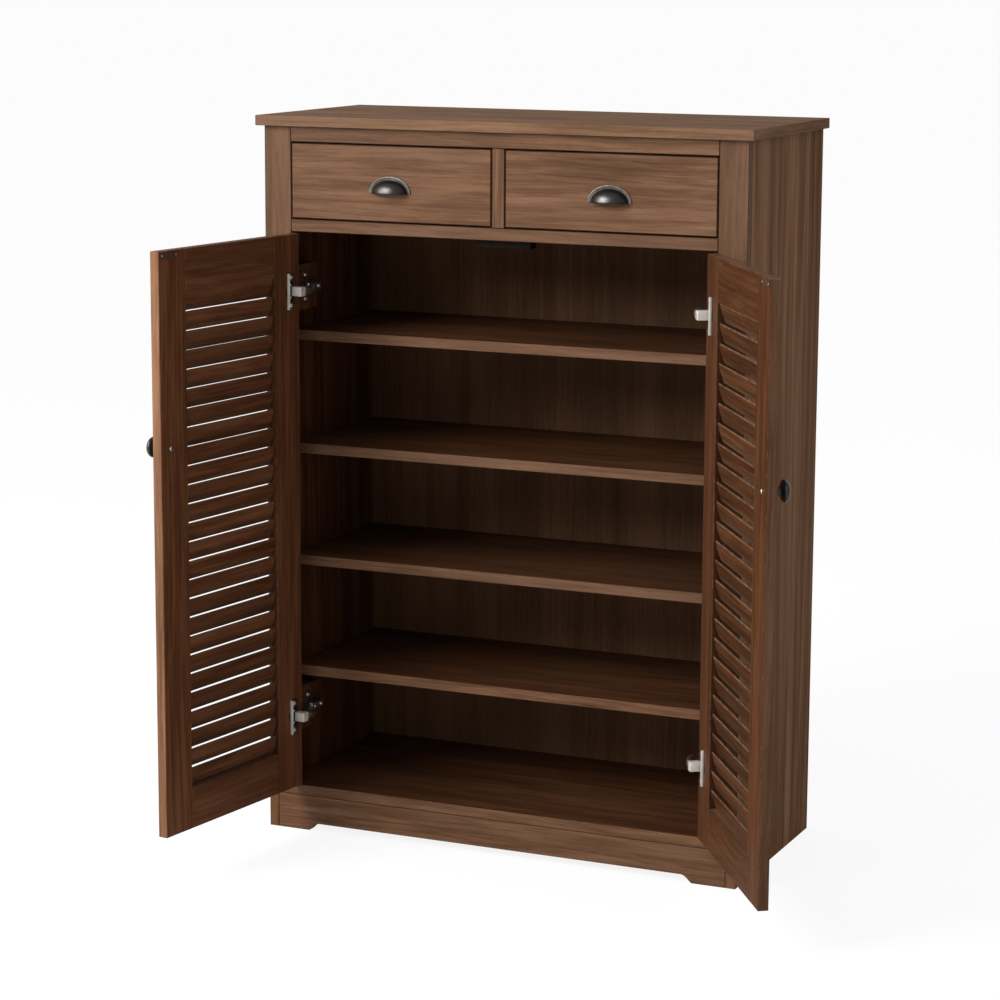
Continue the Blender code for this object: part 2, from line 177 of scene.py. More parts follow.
def group(name, ins, outs, build):
    """A node group. ins and outs are (name, socket type, default)."""
    g = bpy.data.node_groups.new(name, "ShaderNodeTree")
    kinds = {"v": "NodeSocketVector", "f": "NodeSocketFloat", "c": "NodeSocketColor"}
    for n, k, d in ins:
        s = g.interface.new_socket(n, in_out="INPUT", socket_type=kinds[k])
        if d is not None:
            s.default_value = (*d, 1.0) if k == "c" else d
    for n, k in outs:
        g.interface.new_socket(n, in_out="OUTPUT", socket_type=kinds[k])
    t = Tree(g)
    gi, go = t.node("NodeGroupInput"), t.node("NodeGroupOutput")
    made = build(t, {n: gi.outputs[n] for n, _, _ in ins})
    for n, _ in outs:
        t.put(go.inputs[n], made[n])
    return g


# ------------------------------------------------------------------ wood
def wood_build(t, i):
    """Straight walnut-toned grain along x, in metres: long soft streaks, tighter fibres, faint growth rings and open pores."""
    v = i["Vector"]
    slow = t.vec("MULTIPLY", v, (1.7, 6.0, 6.0))
    warp = t.vec("SUBTRACT", t.noise(slow, 1.0, 2.0, 0.5, colour=True), (0.5, 0.5, 0.5))
    v2 = t.vec("ADD", v, t.vec("MULTIPLY", warp, (0.0, 0.030, 0.030)))
    streak = t.noise(t.vec("MULTIPLY", v2, i["Streak"]), 1.0, 3.0, 0.55)
    streak = t.ramp(streak, 0.28, 0.72, smooth=False)
    broad = t.noise(t.vec("MULTIPLY", v2, i["Band"]), 1.0, 2.0, 0.5)
    broad = t.ramp(broad, 0.30, 0.70, smooth=False)
    fine = t.noise(t.vec("MULTIPLY", v2, (16.0, 420.0, 420.0)), 1.0, 3.0, 0.62)
    fine = t.ramp(fine, 0.28, 0.72, smooth=False)
    x, y, z = t.split(v2)
    far = t.join(t.math("MULTIPLY", x, 0.05), t.math("ADD", y, 0.137), t.math("SUBTRACT", z, 0.083))
    ring = t.vec("LENGTH", far)
    ring = t.math("MULTIPLY", ring, 760.0)
    ring = t.math("ADD", ring, t.math("MULTIPLY", t.noise(t.vec("MULTIPLY", v, (3.0, 14.0, 14.0)), 1.0, 2.0), 9.0))
    ring = t.math("SINE", ring)
    ring = t.ramp(ring, 0.15, 1.0)
    pore = t.noise(t.vec("MULTIPLY", v2, (55.0, 1500.0, 1500.0)), 1.0, 1.0, 0.5)
    pore = t.ramp(pore, 0.34, 0.27)
    knots = t.noise(t.vec("MULTIPLY", v, (0.9, 3.2, 3.2)), 1.0, 1.0)
    f = t.math("MULTIPLY", t.math("SUBTRACT", streak, 0.5), i["Streaks"])
    f = t.math("ADD", f, t.math("MULTIPLY", t.math("SUBTRACT", broad, 0.5), i["Bands"]))
    f = t.math("ADD", f, t.math("MULTIPLY", t.math("SUBTRACT", fine, 0.5), 0.34))
    f = t.math("SUBTRACT", f, t.math("MULTIPLY", ring, i["Rings"]))
    f = t.math("ADD", f, 0.56, clamp=True)
    col = t.mix(t.ramp(f, 0.0, 0.55, smooth=False), i["Dark"], i["Mid"])
    col = t.mix(t.ramp(f, 0.5, 1.0, smooth=False), col, i["Light"])
    grey = t.math("MULTIPLY", t.ramp(knots, 0.40, 0.62), i["Greying"])
    col = t.mix(grey, col, i["Grey"])
    col = t.mix(t.math("MULTIPLY", pore, 0.42), col, t.mix(0.72, col, (0.02, 0.008, 0.004)))
    rough = t.math("ADD", i["Rough"], t.math("MULTIPLY", t.math("SUBTRACT", fine, 0.5), 0.10))
    rough = t.math("ADD", rough, t.math("MULTIPLY", pore, 0.16))
    high = t.math("SUBTRACT", t.math("MULTIPLY", fine, 0.45), t.math("MULTIPLY", pore, 0.9))
    high = t.math("SUBTRACT", high, t.math("MULTIPLY", ring, 0.10))
    return {"Color": col, "Rough": rough, "Height": high, "Tone": f}


WOOD = group(
    "of_wood",
    [
        ("Vector", "v", None),
        ("Streak", "v", (7.0, 95.0, 95.0)),
        ("Band", "v", (2.6, 30.0, 30.0)),
        ("Streaks", "f", 0.52),
        ("Bands", "f", 0.42),
        ("Rings", "f", 0.10),
        ("Greying", "f", 0.35),
        ("Rough", "f", 0.46),
        ("Dark", "c", (0.09, 0.05, 0.03)),
        ("Mid", "c", (0.17, 0.095, 0.058)),
        ("Light", "c", (0.25, 0.15, 0.095)),
        ("Grey", "c", (0.13, 0.085, 0.06)),
    ],
    [("Color", "c"), ("Rough", "f"), ("Height", "f"), ("Tone", "f")],
    wood_build,
)


def edge_build(t, i):
    """How far a point on a box-shaped board is from the board's nearest edge, in metres."""
    d = t.vec("SUBTRACT", i["Half"], t.vec("ABSOLUTE", i["Vector"]))
    a, b, c = t.split(d)
    lo, hi = t.math("MINIMUM", a, b), t.math("MAXIMUM", a, b)
    mid = t.math("MAXIMUM", lo, t.math("MINIMUM", hi, c))
    return {"Distance": mid}


EDGE = group("of_edge", [("Vector", "v", None), ("Half", "v", (1, 1, 1))], [("Distance", "f")], edge_build)

# palettes: dark, mid, light, grey
FRONT = dict(Dark=(0.072, 0.033, 0.017), Mid=(0.150, 0.074, 0.040), Light=(0.232, 0.124, 0.071), Grey=(0.118, 0.070, 0.045))
SIDE = dict(Dark=(0.090, 0.041, 0.020), Mid=(0.176, 0.084, 0.042), Light=(0.275, 0.145, 0.080), Grey=(0.145, 0.082, 0.048))
TOP = dict(Dark=(0.095, 0.049, 0.027), Mid=(0.185, 0.101, 0.058), Light=(0.269, 0.157, 0.095), Grey=(0.151, 0.095, 0.063))
# Painted shade: the walnut darkened for faces inside the cabinet, its inner parts and the inner face of the right leaf.
INNER_SHADE = dict(Dark=(0.040, 0.014, 0.006), Mid=(0.092, 0.035, 0.015), Light=(0.150, 0.062, 0.029), Grey=(0.075, 0.033, 0.017))
# Painted shade: the darkened walnut for the inner halves of the right leaf's slats.
INNER_SLAT_SHADE = dict(Dark=(0.036, 0.013, 0.005), Mid=(0.085, 0.033, 0.014), Light=(0.150, 0.064, 0.030), Grey=(0.070, 0.032, 0.016))
# The back panel's palette: partly the thin back board's own darker tone, partly painted shade of the compartments.
BACKING_TONE_AND_SHADE = dict(Dark=(0.070, 0.033, 0.016), Mid=(0.128, 0.062, 0.031), Light=(0.178, 0.092, 0.049), Grey=(0.098, 0.053, 0.029))
# Painted shade for the left leaf's inner face and slats, lighter than the right leaf's: painted light on the left leaf.
LEFT_INNER_SHADE_AND_LIGHT = dict(Dark=(0.052, 0.018, 0.008), Mid=(0.122, 0.046, 0.020), Light=(0.200, 0.083, 0.039), Grey=(0.100, 0.044, 0.022))
# Painted shade: the darkened walnut for the shelves and bottom board behind their front edges.
SHELF_SHADE = dict(Dark=(0.040, 0.015, 0.007), Mid=(0.082, 0.033, 0.015), Light=(0.130, 0.057, 0.028), Grey=(0.066, 0.031, 0.017))


def new_material(name):
    m = bpy.data.materials.new(name)
    m.use_nodes = True
    nt = m.node_tree
    nt.nodes.clear()
    t = Tree(nt)
    out = t.node("ShaderNodeOutputMaterial")
    b = t.node("ShaderNodeBsdfPrincipled")
    nt.links.new(b.outputs[0], out.inputs[0])
    return m, t, b


def placed(t, matrix):
    """Object coordinates carried into a piece's own frame by a rigid matrix."""
    tc = t.node("ShaderNodeTexCoord")
    mp = t.node("ShaderNodeMapping", vector_type="POINT")
    t.nt.links.new(tc.outputs["Object"], mp.inputs["Vector"])
    mp.inputs["Rotation"].default_value = matrix.to_3x3().to_euler("XYZ")
    mp.inputs["Location"].default_value = matrix.to_translation()
    return mp.outputs[0]


ALONG = {
    "X": Matrix.Identity(4),
    "Z": Matrix.Rotation(math.radians(90), 4, "Y"),
    "Y": Matrix.Rotation(math.radians(-90), 4, "Z"),
}
WOOD_N = [0]


def use_wood(t, coords, palette, seed, **opts):
    g = t.node("ShaderNodeGroup")
    g.node_tree = WOOD
    off = t.vec("ADD", coords, (3.17 * seed + 1.3, 1.71 * seed, 2.39 * seed))
    t.put(g.inputs["Vector"], off)
    for k, v in {**palette, **opts}.items():
        t.put(g.inputs[k], v)
    return g


def wood_material(name, centre, half, grain, palette, rot=0.0, seed=None, wear=0.0, line=0.0, inner=None,
                  inner_at=None, inner_side=0.0, inner_axis=1, inner_sign=1.0, end=None, ends=None, bump=0.35, spec=0.035, joint=0.0009, **opts):
    """A laminated board: centre and half extents in the row frame (rot turns it about z), grain along an axis of the
    board.
    wear lightens worn edges and paints a highlight along them, line darkens the joint line at the edges, inner is the
    palette past the plane at inner_at (in the board's own y, or another axis), darker to paint shade, end is (sign,
    tone) of one end face whose colour is scaled by tone: painted light above 1, painted shade below 1."""
    WOOD_N[0] += 1
    seed = WOOD_N[0] if seed is None else seed
    m, t, b = new_material(name)
    own = Matrix.Rotation(-rot, 4, "Z") @ Matrix.Translation(-Vector(centre))
    p = placed(t, own)
    turned = placed(t, ALONG[grain] @ own)
    g = use_wood(t, turned, palette, seed, **opts)
    col, rough, high = g.outputs["Color"], g.outputs["Rough"], g.outputs["Height"]
    if ends is not None:             # edging strip with its grain along the board's end
        k = {"X": 0, "Y": 1, "Z": 2}[grain]
        g3 = use_wood(t, placed(t, ALONG["X" if grain == "Z" else "Y"] @ own), palette, seed + 0.5, **opts)
        at_end = t.math("GREATER_THAN", t.math("ABSOLUTE", t.split(p)[k]), half[k] - 0.0012)
        col = t.mix(at_end, col, t.vec("SCALE", g3.outputs["Color"], scale=ends))
        high = t.math("ADD", t.math("MULTIPLY", high, t.math("SUBTRACT", 1.0, at_end)), t.math("MULTIPLY", g3.outputs["Height"], at_end))
    if inner is not None:
        g2 = use_wood(t, turned, inner, seed, **opts)
        inner_col = g2.outputs["Color"]
        x, y, z = t.split(p)
        mask = t.math("GREATER_THAN", t.math("MULTIPLY", (x, y, z)[inner_axis], inner_sign), inner_at)
        if inner_side:               # also the edge that faces the louvre, painted shade: the inner palette at half brightness
            reveal_painted_shade = t.math("GREATER_THAN", t.math("MULTIPLY", x, inner_side), half[0] - 0.0006)
            mask = t.math("MAXIMUM", mask, reveal_painted_shade)
            inner_col = t.mix(reveal_painted_shade, inner_col, t.vec("SCALE", inner_col, scale=0.50))
        col = t.mix(mask, col, inner_col)
    # Painted light and shade: one end face's colour is scaled by a tone, above 1 paints light, below 1 paints shade.
    if end is not None:
        painted_end_tone_mask = t.math("GREATER_THAN", t.math("MULTIPLY", t.split(p)[0], end[0]), half[0] - 0.0012)
        col = t.mix(painted_end_tone_mask, col, t.vec("SCALE", col, scale=end[1]))
    e = t.node("ShaderNodeGroup")
    e.node_tree = EDGE
    t.put(e.inputs["Vector"], p)
    t.put(e.inputs["Half"], tuple(half))
    d = e.outputs[0]
    if line:
        dark = t.ramp(d, joint * 1.5, joint * 0.4)
        col = t.mix(t.math("MULTIPLY", dark, line), col, (0.012, 0.006, 0.003))
    # Edges lightened towards the light tone: partly real wear, partly a painted highlight along the edges.
    if wear:
        rub_and_highlight_noise = t.noise(p, 95.0, 3.0, 0.6)
        worn_and_lit_edge = t.math("MULTIPLY", t.ramp(d, 0.0022, 0.0002), t.ramp(rub_and_highlight_noise, 0.44, 0.66))
        col = t.mix(t.math("MULTIPLY", worn_and_lit_edge, wear), col, t.mix(0.65, col, palette["Light"]))
        rough = t.math("ADD", rough, t.math("MULTIPLY", worn_and_lit_edge, 0.12))
    handled = t.noise(p, 7.0, 3.0, 0.6)
    rough = t.math("ADD", rough, t.math("MULTIPLY", t.math("SUBTRACT", handled, 0.5), 0.16))
    t.put(b.inputs["Base Color"], col)
    t.put(b.inputs["Roughness"], rough)
    b.inputs["Specular IOR Level"].default_value = spec
    bp = t.node("ShaderNodeBump")
    bp.inputs["Strength"].default_value = bump
    bp.inputs["Distance"].default_value = 0.0004
    t.put(bp.inputs["Height"], high)
    t.put(b.inputs["Normal"], bp.outputs[0])
    return m


def give(obj, mat):
    obj.data.materials.clear()
    obj.data.materials.append(mat)


# ------------------------------------------------------------------ door frames, from the CAD
HINGE = {}
for j in frame["joints"]:
    if j["type"] == "hinge":
        HINGE[j["child"]] = (Vector(j["pos_m"]), math.radians(j["range_deg"][0]), Vector(j["axis"]))


def door_matrix(side):
    """Row frame to the leaf's own frame: x from the hinge line towards the meeting edge (negative x on the right leaf), y from the outer face inwards."""
    pos, lo, axis = HINGE[f"{side}_door"]
    stored = -lo                       # how far the leaf stands open at rest
    turn = -stored if side == "left" else stored
    return Matrix.Rotation(-turn, 4, "Z") @ Matrix.Translation(-Vector((pos.x, pos.y, 0))), turn


DOOR = {s: door_matrix(s) for s in ("left", "right")}


def leaf_point(side, x, y, z):
    return DOOR[side][0].inverted() @ Vector((x, y, z))


def leaf_box(side, node):
    """A door node's box in its own leaf's frame."""
    m = DOOR[side][0]
    pts = [m @ v.co for v in NODES[node].data.vertices]
    lo = Vector(min(p[i] for p in pts) for i in range(3))
    hi = Vector(max(p[i] for p in pts) for i in range(3))
    return lo, hi


# ------------------------------------------------------------------ carcass boards
def centre_half(node):
    lo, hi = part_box(node)
    return (lo + hi) / 2, (hi - lo) / 2


def dress(node, grain, palette, **kw):
    c, h = centre_half(node)
    give(NODES[node], wood_material(node + "_wood", c, h, grain, palette, **kw))


VERT = dict(Streak=(5.0, 95.0, 95.0), Band=(1.6, 34.0, 34.0))
WIDE = dict(Streak=(3.2, 85.0, 85.0), Band=(0.8, 26.0, 26.0))
dress("top_board", "X", TOP, wear=0.6, Greying=0.5, Rough=0.50, spec=0.006, ends=1.0)
dress("top_rail", "X", FRONT, line=0.55)
dress("lower_rail", "X", FRONT, line=0.6)
dress("centre_mullion", "Z", FRONT, line=0.6, **VERT)
dress("front_plinth", "X", FRONT, line=0.5)
for s in ("left", "right"):
    dress(f"{s}_front_stile", "Z", FRONT, line=0.55, **VERT)
    # The inner face of each side panel takes the darker inner palette: painted shade.
    dress(f"{s}_side_panel", "Z", SIDE, wear=0.3, Greying=0.30, Bands=0.85, Streaks=0.60, spec=0.008, inner=INNER_SHADE, inner_axis=0,
          inner_sign=1.0 if s == "left" else -1.0, inner_at=0.0070, **WIDE)
    dress(f"{s}_drawer_guide", "Y", INNER_SHADE)
    for lvl in ("top", "bottom"):
        dress(f"{s}_{lvl}_hinge_block", "Z", INNER_SHADE)
# Everything behind the front edge takes the darker shelf palette: painted shade.
dress("bottom_board", "X", FRONT, wear=0.5, inner=SHELF_SHADE, inner_at=-centre_half("bottom_board")[1].y + 0.0012)
for k in (1, 2, 3, 4):
    dress(f"shelf_{k}", "X", FRONT, wear=0.4, inner=SHELF_SHADE, inner_at=-centre_half(f"shelf_{k}")[1].y + 0.0012)
# The drawer deck, divider, rear plinth and centre foot take the darker inner palette: painted shade, as do the drawer
# guides and hinge blocks above.
dress("drawer_deck", "X", INNER_SHADE)
dress("drawer_divider", "Y", INNER_SHADE)
dress("back_panel", "Z", BACKING_TONE_AND_SHADE, Rough=0.62, spec=0.02, Streak=(2.2, 52.0, 52.0), Band=(0.8, 20.0, 20.0), Streaks=0.40, Bands=0.50)
dress("rear_plinth", "X", INNER_SHADE)
dress("centre_foot", "Y", INNER_SHADE)


# ------------------------------------------------------------------ door boards
def dress_leaf(side, part, grain, **kw):
    node = f"{side}_door_{part}"
    lo, hi = leaf_box(side, node)
    c_leaf, half = (lo + hi) / 2, (hi - lo) / 2
    centre = DOOR[side][0].inverted() @ c_leaf
    # The inner face takes a darker palette: painted shade, lighter on the left leaf than on the right, painted light.
    give(NODES[node], wood_material(node + "_wood", centre, half, grain, FRONT, rot=DOOR[side][1], inner=LEFT_INNER_SHADE_AND_LIGHT if side == "left" else INNER_SHADE,
                                    inner_at=half.y - 0.0011, wear=0.45, **kw))


for s in ("left", "right"):
    k = 1 if s == "left" else -1
    # Both stiles get painted shade on their louvre-facing edge.
    dress_leaf(s, "hinge_stile", "Z", inner_side=k, **VERT)
    # The free stile's end face: x1.50 on the left leaf, painted light; x0.72 on the right, painted shade.
    dress_leaf(s, "free_stile", "Z", inner_side=-k, end=(k, 1.50 if s == "left" else 0.72), **VERT)
    for part in ("top_rail", "bottom_rail"):
        dress_leaf(s, part, "X")

# ------------------------------------------------------------------ drawers
for s in ("left", "right"):
    dress(f"{s}_drawer_front", "X", FRONT, line=0.85, joint=0.0012)


def ply_material(name, centre, half, grain, seed):
    m, t, b = new_material(name)
    own = Matrix.Translation(-Vector(centre))
    p = placed(t, own)
    turned = placed(t, ALONG[grain] @ own)
    g = use_wood(t, turned, dict(Dark=(0.36, 0.24, 0.14), Mid=(0.50, 0.37, 0.24), Light=(0.62, 0.49, 0.34), Grey=(0.46, 0.35, 0.24)), seed, Rings=0.16, Rough=0.62)
    x, y, z = t.split(p)
    across = x if half[0] < half[1] and half[0] < half[2] else (y if half[1] < half[2] else z)
    plies = t.ramp(t.math("SINE", t.math("MULTIPLY", across, math.pi / 0.0017)), -0.2, 0.2)
    e = t.node("ShaderNodeGroup")
    e.node_tree = EDGE
    t.put(e.inputs["Vector"], p)
    t.put(e.inputs["Half"], tuple(half))
    thin = min(half)
    side = t.math("LESS_THAN", t.math("ABSOLUTE", across), thin - 0.0006)
    col = t.mix(t.math("MULTIPLY", t.math("MULTIPLY", side, plies), 0.55), g.outputs["Color"], (0.20, 0.12, 0.07))
    t.put(b.inputs["Base Color"], col)
    t.put(b.inputs["Roughness"], g.outputs["Rough"])
    bp = t.node("ShaderNodeBump")
    bp.inputs["Strength"].default_value = 0.4
    bp.inputs["Distance"].default_value = 0.0004
    t.put(bp.inputs["Height"], g.outputs["Height"])
    t.put(b.inputs["Normal"], bp.outputs[0])
    return m


for i, s in enumerate(("left", "right")):
    for j, (part, grain) in enumerate((("left_side", "Y"), ("right_side", "Y"), ("back", "X"), ("bottom", "Y"))):
        n = f"{s}_drawer_{part}"
        c, h = centre_half(n)
        give(NODES[n], ply_material(n + "_ply", c, h, grain, 40 + 4 * i + j))


# ------------------------------------------------------------------ metal and plastic
def metal_material(name, colour, rough, dark, scratch=0.25, metallic=1.0, scale=1.0):
    m, t, b = new_material(name)
    tc = t.node("ShaderNodeTexCoord").outputs["Object"]
    cloud = t.noise(tc, 60.0 * scale, 4.0, 0.6)
    brush = t.noise(t.vec("MULTIPLY", tc, (1800.0, 1800.0, 60.0)), 1.0, 2.0, 0.6)
    speck = t.noise(tc, 900.0 * scale, 2.0, 0.7)
    col = t.mix(t.ramp(cloud, 0.35, 0.70), colour, dark)
    col = t.mix(t.math("MULTIPLY", t.ramp(speck, 0.58, 0.72), 0.35), col, dark)
    r = t.math("ADD", rough, t.math("MULTIPLY", t.math("SUBTRACT", cloud, 0.5), 0.18))
    r = t.math("ADD", r, t.math("MULTIPLY", t.math("SUBTRACT", brush, 0.5), scratch * 0.4))
    t.put(b.inputs["Base Color"], col)
    t.put(b.inputs["Roughness"], r)
    b.inputs["Metallic"].default_value = metallic
    bp = t.node("ShaderNodeBump")
    bp.inputs["Strength"].default_value = 0.15
    bp.inputs["Distance"].default_value = 0.0002
    t.put(bp.inputs["Height"], t.math("ADD", brush, speck))
    t.put(b.inputs["Normal"], bp.outputs[0])
    return m


NICKEL = metal_material("nickel_plate", (0.86, 0.83, 0.79), 0.34, (0.74, 0.71, 0.67), scratch=0.12)
NICKEL_DARK = metal_material("nickel_in_shade", (0.46, 0.44, 0.41), 0.36, (0.30, 0.28, 0.26), scratch=0.12)
# Painted shade: a dark metal for the plate that stands in for the hinge cup's shaded hollow.
RECESS_SHADE = metal_material("painted_shade_recess", (0.060, 0.055, 0.050), 0.55, (0.035, 0.031, 0.028), scratch=0.1)
# Painted shade: dark brown for the nickel catch plate on the leaf's inner face.
BROWN_PLATE_SHADE = metal_material("catch_plate_painted_shade", (0.105, 0.055, 0.030), 0.50, (0.070, 0.036, 0.020), scratch=0.2, metallic=0.4)
BLACKM = metal_material("black_lacquer", (0.014, 0.013, 0.013), 0.26, (0.022, 0.019, 0.017), metallic=0.0, scratch=0.08)
PEWTER = metal_material("dark_pewter", (0.060, 0.059, 0.057), 0.34, (0.038, 0.037, 0.035), scratch=0.10)
PEWTER_RIM = metal_material("rubbed_pewter", (0.110, 0.102, 0.090), 0.48, (0.060, 0.055, 0.049), scratch=0.2)
SATIN = metal_material("satin_nickel", (0.80, 0.76, 0.71), 0.46, (0.66, 0.62, 0.57), scratch=0.12, metallic=0.35)
PLASTIC = metal_material("brown_plastic", (0.010, 0.006, 0.004), 0.70, (0.014, 0.008, 0.005), metallic=0.0)
PLASTIC.node_tree.nodes["Principled BSDF"].inputs["Specular IOR Level"].default_value = 0.05


# ------------------------------------------------------------------ mesh helpers
def as_mesh(bm, name):
    me = bpy.data.meshes.new(name)
    bm.to_mesh(me)
    bm.free()
    return me


def evaluated(obj):
    """A copy of an object's mesh with its modifiers applied. The object is removed."""
    bpy.context.view_layer.update()
    dg = bpy.context.evaluated_depsgraph_get()
    me = bpy.data.meshes.new_from_object(obj.evaluated_get(dg))
    bpy.data.objects.remove(obj)
    return me


def soft_box(lo, hi, r, segments=2, only=None):
    """A box with rounded edges, as a bmesh. only names the axis whose edges alone are rounded."""
    bm = bmesh.new()
    bmesh.ops.create_cube(bm, size=1.0)
    lo, hi = Vector(lo), Vector(hi)
    bmesh.ops.scale(bm, vec=hi - lo, verts=bm.verts)
    bmesh.ops.translate(bm, vec=(lo + hi) / 2, verts=bm.verts)
    es = list(bm.edges)
    if only is not None:
        i = "xyz".index(only)
        es = [e for e in es if abs((e.verts[0].co - e.verts[1].co)[i]) > 1e-7]
    bmesh.ops.bevel(bm, geom=es, offset=r, segments=segments, profile=0.5, affect="EDGES", clamp_overlap=True)
    return bm


def lathe(profile, steps=40):
    """A closed solid turned about z from (radius, height) points. The first and last points are on the axis."""
    bm = bmesh.new()
    rings = []
    for r, z in profile:
        if r < 1e-7:
            rings.append([bm.verts.new((0, 0, z))])
        else:
            rings.append([bm.verts.new((r * math.cos(2 * math.pi * k / steps), r * math.sin(2 * math.pi * k / steps), z)) for k in range(steps)])
    for a, b in zip(rings, rings[1:]):
        for k in range(steps):
            q = (k + 1) % steps
            if len(a) == 1 and len(b) == 1:
                continue
            if len(a) == 1:
                bm.faces.new((a[0], b[k], b[q]))
            elif len(b) == 1:
                bm.faces.new((a[k], a[q], b[0]))
            else:
                bm.faces.new((a[k], a[q], b[q], b[k]))
    bmesh.ops.recalc_face_normals(bm, faces=bm.faces)
    return bm


def smooth_profile(pts, n=4):
    """Catmull-Rom points between profile points, so that a turned form has no facets."""
    out = []
    for i in range(len(pts) - 1):
        p0, p1, p2, p3 = pts[max(i - 1, 0)], pts[i], pts[i + 1], pts[min(i + 2, len(pts) - 1)]
        for k in range(n):
            u = k / n
            q = []
            for a in (0, 1):
                q.append(0.5 * (2 * p1[a] + (p2[a] - p0[a]) * u + (2 * p0[a] - 5 * p1[a] + 4 * p2[a] - p3[a]) * u * u
                                + (3 * p1[a] - p0[a] - 3 * p2[a] + p3[a]) * u ** 3))
            out.append((max(q[0], 0.0), q[1]))
    out.append(pts[-1])
    return out


def temp_object(bm, name):
    o = bpy.data.objects.new(name, as_mesh(bm, name))
    scene.collection.objects.link(o)
    return o


def cross_screw(r, h):
    """A pan head screw with a cross recess, its seat at z = 0, as a mesh."""
    prof = [(0, h), (r * 0.45, h * 0.97), (r * 0.75, h * 0.82), (r * 0.93, h * 0.55), (r, h * 0.22), (r, 0.0), (0, 0.0)]
    head = temp_object(lathe(smooth_profile(prof[:5], 3) + prof[5:], 28), "screw_head")
    for turn in (0, 90):
        c = temp_object(soft_box((-r * 0.62, -r * 0.13, h * 0.45), (r * 0.62, r * 0.13, h * 2), r * 0.05, 1), f"recess_{turn}")
        c.rotation_euler = (0, 0, math.radians(turn + 22))
        m = head.modifiers.new("recess", "BOOLEAN")
        m.operation, m.object, m.solver = "DIFFERENCE", c, "EXACT"
    me = evaluated(head)
    for n in ("recess_0", "recess_90"):
        bpy.data.objects.remove(bpy.data.objects[n])
    return me


SCREW = cross_screw(1.0, 0.55)          # unit radius


class Piece:
    """Collects closed forms in a frame of its own and makes one object of them."""

    def __init__(self, name, frame_to_row=None, sx=1):
        self.name, self.m, self.sx = name, frame_to_row or Matrix.Identity(4), sx
        self.bm, self.mats = bmesh.new(), []

    def add(self, part, mat, matrix=None, smooth=True):
        """part is a bmesh (freed) or a mesh (kept)."""
        if mat not in self.mats:
            self.mats.append(mat)
        idx = self.mats.index(mat)
        me = as_mesh(part, "tmp") if isinstance(part, bmesh.types.BMesh) else part
        n0, f0 = len(self.bm.verts), len(self.bm.faces)
        self.bm.from_mesh(me)
        self.bm.verts.ensure_lookup_table()
        self.bm.faces.ensure_lookup_table()
        vs, fs = self.bm.verts[n0:], self.bm.faces[f0:]
        if matrix is not None:
            bmesh.ops.transform(self.bm, matrix=matrix, verts=vs)
        for f in fs:
            f.material_index = idx
            f.smooth = smooth
        if isinstance(part, bmesh.types.BMesh):
            bpy.data.meshes.remove(me)

    def screw(self, at, axis, r, mat, turn=0.0):
        q = Vector(axis).to_track_quat("Z", "Y").to_matrix().to_4x4()
        self.add(SCREW, mat, Matrix.Translation(at) @ q @ Matrix.Rotation(turn, 4, "Z") @ Matrix.Diagonal((r, r, r, 1)))

    def done(self, body, slot, *nodes, angle=35):
        if self.sx < 0:
            bmesh.ops.scale(self.bm, vec=(-1, 1, 1), verts=self.bm.verts)
            bmesh.ops.reverse_faces(self.bm, faces=self.bm.faces)
        bmesh.ops.transform(self.bm, matrix=self.m, verts=self.bm.verts)
        self.bm.edges.ensure_lookup_table()
        for e in self.bm.edges:
            e.smooth = not (len(e.link_faces) == 2 and e.calc_face_angle(0) > math.radians(angle))
        me = as_mesh(self.bm, self.name)
        for m in self.mats:
            me.materials.append(m)
        o = bpy.data.objects.new(self.name, me)
        scene.collection.objects.link(o)
        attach(o, body)
        if nodes:
            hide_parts(*nodes)
        return o


def leaf_piece(name, side):
    """A piece drawn in the left leaf's frame. The right leaf's is mirrored."""
    return Piece(name, DOOR[side][0].inverted(), 1 if side == "left" else -1)


# ------------------------------------------------------------------ louvres
T_LEAF = 0.016
SLAT_TILT = math.radians(17.0)
SLAT_HALF, SLAT_T, SLATS = 0.0160, 0.0021, 26


def slat_profile():
    """Slat section as (through, along width): a slim convex form with blunt edges."""
    n, pts = 9, []
    for side in (1, -1):
        for k in range(n + 1):
            a = math.pi * k / n
            u = math.cos(a) * SLAT_HALF * side
            w = SLAT_T * (abs(math.sin(a)) ** 0.62) * side
            if 0 < k < n or side == 1:
                pts.append((w, u))
    return pts


def slat_mesh(x0, x1, z0, tilt, bow):
    prof = slat_profile()
    bm = bmesh.new()
    rows = []
    ends = [0.0, 0.0005, 0.0014, 0.0028, 0.0050, 0.0090, 0.030]
    mid = (x1 - x0) / 2
    xs = [(x0 + d, d) for d in ends] + [(x0 + mid, mid)] + [(x1 - d, d) for d in reversed(ends)]
    r = 0.0045
    for x, d in xs:
        cut = r - math.sqrt(max(r * r - (r - d) ** 2, 0.0)) if d < r else 0.0
        ku = (SLAT_HALF - cut) / SLAT_HALF
        kw = 0.72 + 0.28 * min(d / 0.0028, 1.0)
        lift = bow * (1 - ((x - x0 - mid) / mid) ** 2)
        ring = []
        for w, u in prof:
            w, u = w * kw, u * ku
            y = w * math.cos(tilt) + u * math.sin(tilt)
            z = -w * math.sin(tilt) + u * math.cos(tilt)
            ring.append(bm.verts.new((x, T_LEAF / 2 + y, z0 + z + lift)))
        rows.append(ring)
    n = len(prof)
    for a, b in zip(rows, rows[1:]):
        for k in range(n):
            q = (k + 1) % n
            bm.faces.new((a[k], b[k], b[q], a[q]))
    bm.faces.new(rows[0])
    bm.faces.new(list(reversed(rows[-1])))
    bmesh.ops.recalc_face_normals(bm, faces=bm.faces)
    return bm


